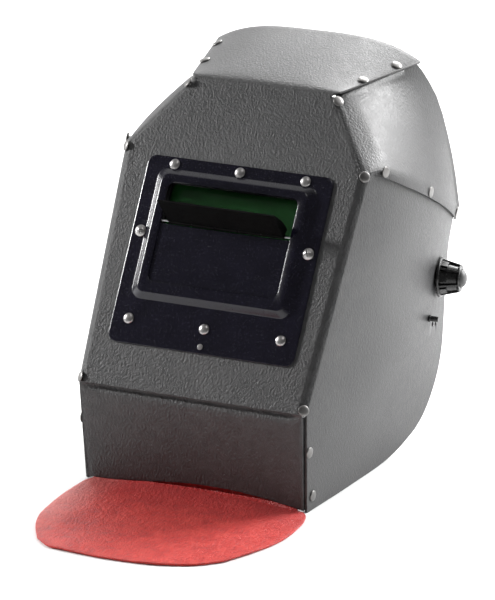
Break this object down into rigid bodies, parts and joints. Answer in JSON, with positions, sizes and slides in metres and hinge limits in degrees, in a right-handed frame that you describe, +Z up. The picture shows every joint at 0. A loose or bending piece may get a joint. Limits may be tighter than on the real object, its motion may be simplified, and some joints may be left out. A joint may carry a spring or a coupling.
{
  "type": "welding helmet",
  "caption": "Folded fibre-sheet welding helmet with riveted seams, a steel lens bezel with a flip shutter, tension knobs, head harness and leather chin bib.",
  "frame": {"origin": "on the surface that the helmet stands on, under the middle of the whole part's box; x = 0 is the helmet's plane of symmetry", "axes": "+Z up, the window faces -Y, +X is the wearer's left"},
  "size_m": [0.269, 0.5229, 0.347],
  "materials": {
    "fibre": "satin pebbled dark grey vulcanised fibre",
    "black_steel": "semi-gloss black",
    "clear_glass": "clear",
    "green_glass": "dark green filter",
    "rubber": "matte",
    "steel": "bright",
    "nickel": "satin nickel plate",
    "black_plastic": "semi-gloss moulded black",
    "grey_plastic": "satin grey",
    "foam": "cloth-faced foam",
    "red_leather": "fine-grained red leather"
  },
  "bodies": {
    "shell": {"front_panel": "fibre", "chin_panel": "fibre", "top_panel": "fibre", "upper_side_left": "fibre", "upper_side_right": "fibre", "lower_side_left": "fibre", "lower_side_right": "fibre", "lens_bezel": "black_steel", "lens_blank_plate": "black_steel", "lens_retainer": "black_steel", "cover_glass": "clear_glass", "filter_glass": "green_glass", "lens_gasket": "rubber", "lens_spring": "steel", "flap_hinge_pin": "steel", "pivot_bolt_left": "steel", "pivot_bolt_right": "steel", "corner_rivet_1": "nickel", "corner_rivet_2": "nickel", "corner_rivet_3": "nickel", "corner_rivet_4": "nickel", "corner_rivet_5": "nickel", "corner_rivet_6": "nickel", "top_rivet_1": "nickel", "top_rivet_2": "nickel", "top_rivet_3": "nickel", "top_rivet_4": "nickel", "seam_rivet_1": "nickel", "seam_rivet_2": "nickel", "seam_rivet_3": "nickel", "seam_rivet_4": "nickel", "seam_rivet_5": "nickel", "seam_rivet_6": "nickel", "chin_rivet_1": "nickel", "chin_rivet_2": "nickel", "chin_rivet_3": "nickel", "chin_rivet_4": "nickel", "bezel_rivet_1": "nickel", "bezel_rivet_2": "nickel", "bezel_rivet_3": "nickel", "bezel_rivet_4": "nickel", "bezel_rivet_5": "nickel", "bezel_rivet_6": "nickel", "clamp_screw_left": "nickel", "clamp_screw_right": "nickel"},
    "visor_flap": {"visor_flap": "black_plastic"},
    "knob_left": {"tension_knob_left": "black_plastic", "knob_cap_left": "grey_plastic"},
    "knob_right": {"tension_knob_right": "black_plastic", "knob_cap_right": "grey_plastic"},
    "peg_left": {"stop_peg_left": "black_plastic"},
    "peg_right": {"stop_peg_right": "black_plastic"},
    "harness": {"headband": "black_plastic", "sweatband": "foam", "crown_strap": "black_plastic", "pivot_arm_left": "black_plastic", "pivot_arm_right": "black_plastic"},
    "rear_band": {"rear_band": "black_plastic"},
    "ratchet_knob": {"ratchet_knob": "black_plastic"},
    "bib": {"leather_bib": "red_leather"}
  },
  "joints": [
    {"name": "flap_close", "type": "hinge", "parent": "shell", "child": "visor_flap", "pos_m": [0, -0.02997, 0.21614], "axis": [-1, 0, 0], "range_deg": [0, 68]},
    {"name": "harness_tilt", "type": "hinge", "parent": "shell", "child": "harness", "pos_m": [0, 0.15404, 0.139], "axis": [1, 0, 0], "range_deg": [0, 75]},
    {"name": "knob_left_turn", "type": "hinge", "parent": "shell", "child": "knob_left", "pos_m": [0.10992, 0.15657, 0.139], "axis": [0.9781, 0.2079, 0], "continuous": true},
    {"name": "knob_right_turn", "type": "hinge", "parent": "shell", "child": "knob_right", "pos_m": [-0.10992, 0.15657, 0.139], "axis": [-0.9781, 0.2079, 0], "continuous": true},
    {"name": "peg_left_pull", "type": "slide", "parent": "shell", "child": "peg_left", "axis": [0.9894, 0.1423, -0.0291], "range_m": [0, 0.012]},
    {"name": "peg_right_pull", "type": "slide", "parent": "shell", "child": "peg_right", "axis": [-0.9894, 0.1423, -0.0291], "range_m": [0, 0.012]},
    {"name": "rear_band_slide", "type": "slide", "parent": "harness", "child": "rear_band", "axis": [0, 0.9659, -0.2588], "range_m": [-0.012, 0.02]},
    {"name": "ratchet_turn", "type": "hinge", "parent": "rear_band", "child": "ratchet_knob", "pos_m": [0, 0.24497, 0.11489], "axis": [0, 0.9659, -0.2588], "range_deg": [-180, 300]},
    {"name": "bib_fold", "type": "hinge", "parent": "shell", "child": "bib", "pos_m": [0, -0.08433, 0.0012], "axis": [1, 0, 0], "range_deg": [0, 90]}
  ],
  "couplings": [
    {"joint": "ratchet_turn", "follows": "rear_band_slide", "rad_per_m": 200}
  ]
}
